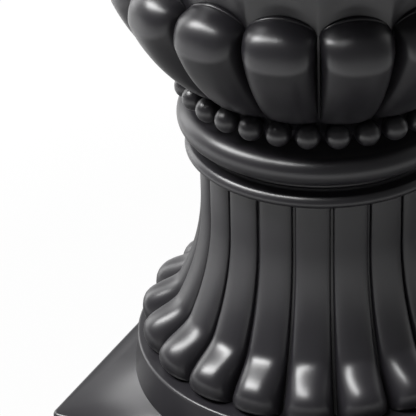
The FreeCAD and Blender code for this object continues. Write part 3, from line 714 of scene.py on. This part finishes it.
# ---------------------------------------------------------------- stage
def soft_lamp(name, place, aim, along, size, power):
    """A rectangular softbox at a place, aimed at a point, its long side along a direction."""
    lamp = bpy.data.lights.new(name, "AREA")
    lamp.shape = "RECTANGLE"
    lamp.size, lamp.size_y = size
    lamp.energy = power
    holder = bpy.data.objects.new(name, lamp)
    back = (Vector(place) - Vector(aim)).normalized()
    side = (Vector(along) - back * back.dot(Vector(along))).normalized()
    turned = Matrix((side, back.cross(side), back)).transposed().to_4x4()
    holder.matrix_world = Matrix.Translation(Vector(place)) @ turned
    bpy.context.scene.collection.objects.link(holder)


def white_to_camera(tree, shader, share_white):
    """Shows mostly plain white to the camera, and the given shader to all other light."""
    path = add_node(tree, "ShaderNodeLightPath")
    seen = add_node(tree, "ShaderNodeMath", {0: path.outputs["Is Camera Ray"], 1: share_white},
                    operation="MULTIPLY")
    white = add_node(tree, "ShaderNodeEmission", {"Color": linear("FFFFFF"), "Strength": 1.0})
    mixed = add_node(tree, "ShaderNodeMixShader", {0: seen.outputs[0], 1: shader, 2: white.outputs[0]})
    return mixed.outputs[0]


def studio_world(settings):
    """A white backdrop behind the urn and a dim room in front of it. The camera sees plain white."""
    world = bpy.data.worlds.new("studio")
    world.use_nodes = True
    tree = world.node_tree
    ahead = (math.cos(settings.heading), math.sin(settings.heading), 0)
    ray = add_node(tree, "ShaderNodeTexCoord").outputs["Generated"]
    facing = add_node(tree, "ShaderNodeVectorMath", {0: ray, 1: ahead},
                      operation="DOT_PRODUCT")
    behind = add_node(tree, "ShaderNodeMapRange", {"Value": facing.outputs["Value"], "From Min": -0.25,
                                                   "From Max": 0.45}, interpolation_type="SMOOTHSTEP")
    height = add_node(tree, "ShaderNodeSeparateXYZ", {0: ray}).outputs["Z"]
    low = add_node(tree, "ShaderNodeMapRange", {"Value": height, "From Min": 0.75, "From Max": 0.45},
                   interpolation_type="SMOOTHSTEP")
    lit = add_node(tree, "ShaderNodeMath", {0: behind.outputs[0], 1: low.outputs[0]}, operation="MULTIPLY")
    level = add_node(tree, "ShaderNodeMapRange", {"Value": lit.outputs[0], "To Min": settings.room,
                                                  "To Max": settings.backdrop})
    around = tree.nodes["Background"]
    around.inputs["Color"].default_value = linear("FFFFFF")
    tree.links.new(level.outputs[0], around.inputs["Strength"])
    path = add_node(tree, "ShaderNodeLightPath")
    white = add_node(tree, "ShaderNodeBackground", {"Color": linear("FFFFFF"), "Strength": 1.0})
    mixed = add_node(tree, "ShaderNodeMixShader", {0: path.outputs["Is Camera Ray"], 1: around.outputs[0],
                                                   2: white.outputs[0]})
    tree.links.new(mixed.outputs[0], tree.nodes["World Output"].inputs[0])
    return world


class URN_OT_stage(bpy.types.Operator):
    """Makes the pale floor with a painted shadow close to the urn, the plain soft light and the camera."""
    bl_idname = "urn.stage"
    bl_label = "Stage"

    def execute(self, context):
        settings = context.scene.urn_stage
        finish = context.scene.urn_finish
        reach, white_share = 6.0, 0.98
        shade_from, shade_to = 0.3, 0.6    # metres from the urn's axis over which the painted shadow on the floor fades out
        floor = mesh_piece("studio_floor", [(x * reach, y * reach, 0) for x, y in
                                            ((-1, -1), (1, -1), (1, 1), (-1, 1))], [(0, 1, 2, 3)])
        material = bpy.data.materials.new("studio floor")
        material.use_nodes = True
        tree = material.node_tree
        tree.nodes.remove(tree.nodes["Principled BSDF"])
        place = add_node(tree, "ShaderNodeTexCoord").outputs["Object"]
        away = add_node(tree, "ShaderNodeVectorMath", {0: place}, operation="LENGTH")
        # painted shadow: the floor's colour is darker close to the urn and fades into the pale floor further
        # out
        painted_shadow_fade = add_node(tree, "ShaderNodeMapRange", {"Value": away.outputs["Value"], "From Min": shade_from,
                                                       "From Max": shade_to}, interpolation_type="SMOOTHSTEP")
        pale = add_node(tree, "ShaderNodeMix", {"Factor": painted_shadow_fade.outputs[0], 6: linear(finish.shade),
                                                7: linear(finish.floor)}, data_type="RGBA")
        matt = add_node(tree, "ShaderNodeBsdfDiffuse", {"Color": pale.outputs[2]}).outputs[0]
        tree.links.new(white_to_camera(tree, matt, white_share), tree.nodes["Material Output"].inputs[0])
        floor.data.materials.append(material)

        context.scene.world = studio_world(settings)
        middle = (0, 0, 0.3)
        soft_lamp("key_softbox", (-0.95, -0.85, 2.1), middle, (-1, 0.1, 0), (2.3, 0.7), 135)
        soft_lamp("left_softbox", (-2.2, 0.5, 0.7), middle, (0, 0, 1), (1.6, 0.9), 14)

        lens = bpy.data.cameras.new("camera")
        lens.sensor_width = 36
        lens.lens = settings.lens
        camera = bpy.data.objects.new("camera", lens)
        ahead = Vector((math.cos(settings.pitch) * math.cos(settings.heading),
                        math.cos(settings.pitch) * math.sin(settings.heading), math.sin(settings.pitch)))
        side = ahead.cross(Vector((0, 0, 1))).normalized()
        upward = side.cross(ahead)
        rolled = side * math.cos(settings.roll) + upward * math.sin(settings.roll)
        turned = Matrix((rolled, rolled.cross(ahead), -ahead)).transposed().to_4x4()
        camera.matrix_world = Matrix.Translation(Vector(settings.place)) @ turned
        context.scene.collection.objects.link(camera)
        context.scene.camera = camera
        context.scene.view_settings.view_transform = "Standard"
        return {"FINISHED"}


class URN_PT_panel(bpy.types.Panel):
    """Lists the pieces of the urn."""
    bl_label = "Garden urn"
    bl_idname = "URN_PT_panel"
    bl_space_type = "VIEW_3D"
    bl_region_type = "UI"
    bl_category = "Urn"

    def draw(self, context):
        for operator in PIECES:
            self.layout.operator(operator.bl_idname)
        for group in GROUPS:
            settings = getattr(context.scene, group)
            box = self.layout.box()
            for name in GROUPS[group].__annotations__:
                box.prop(settings, name)


GROUPS = {"urn_bowl": UrnBowl, "urn_pedestal": UrnPedestal, "urn_finish": UrnFinish, "urn_stage": UrnStage}
PIECES = (URN_OT_bowl, URN_OT_beads, URN_OT_pedestal, URN_OT_plinth, URN_OT_fittings, URN_OT_stage)


def register():
    """Registers the settings, the operators and the panel."""
    for group in GROUPS:
        bpy.utils.register_class(GROUPS[group])
        setattr(bpy.types.Scene, group, bpy.props.PointerProperty(type=GROUPS[group]))
    for made in PIECES + (URN_PT_panel,):
        bpy.utils.register_class(made)


def unregister():
    """Takes back what register has done, in the opposite order."""
    for made in (URN_PT_panel,) + PIECES[::-1]:
        bpy.utils.unregister_class(made)
    for group in reversed(list(GROUPS)):
        delattr(bpy.types.Scene, group)
        bpy.utils.unregister_class(GROUPS[group])


def main():
    """Makes every piece and the stage."""
    register()
    bpy.ops.urn.bowl()
    bpy.ops.urn.beads()
    bpy.ops.urn.pedestal()
    bpy.ops.urn.plinth()
    bpy.ops.urn.fittings()
    bpy.ops.urn.stage()


if __name__ == "__main__":
    main()
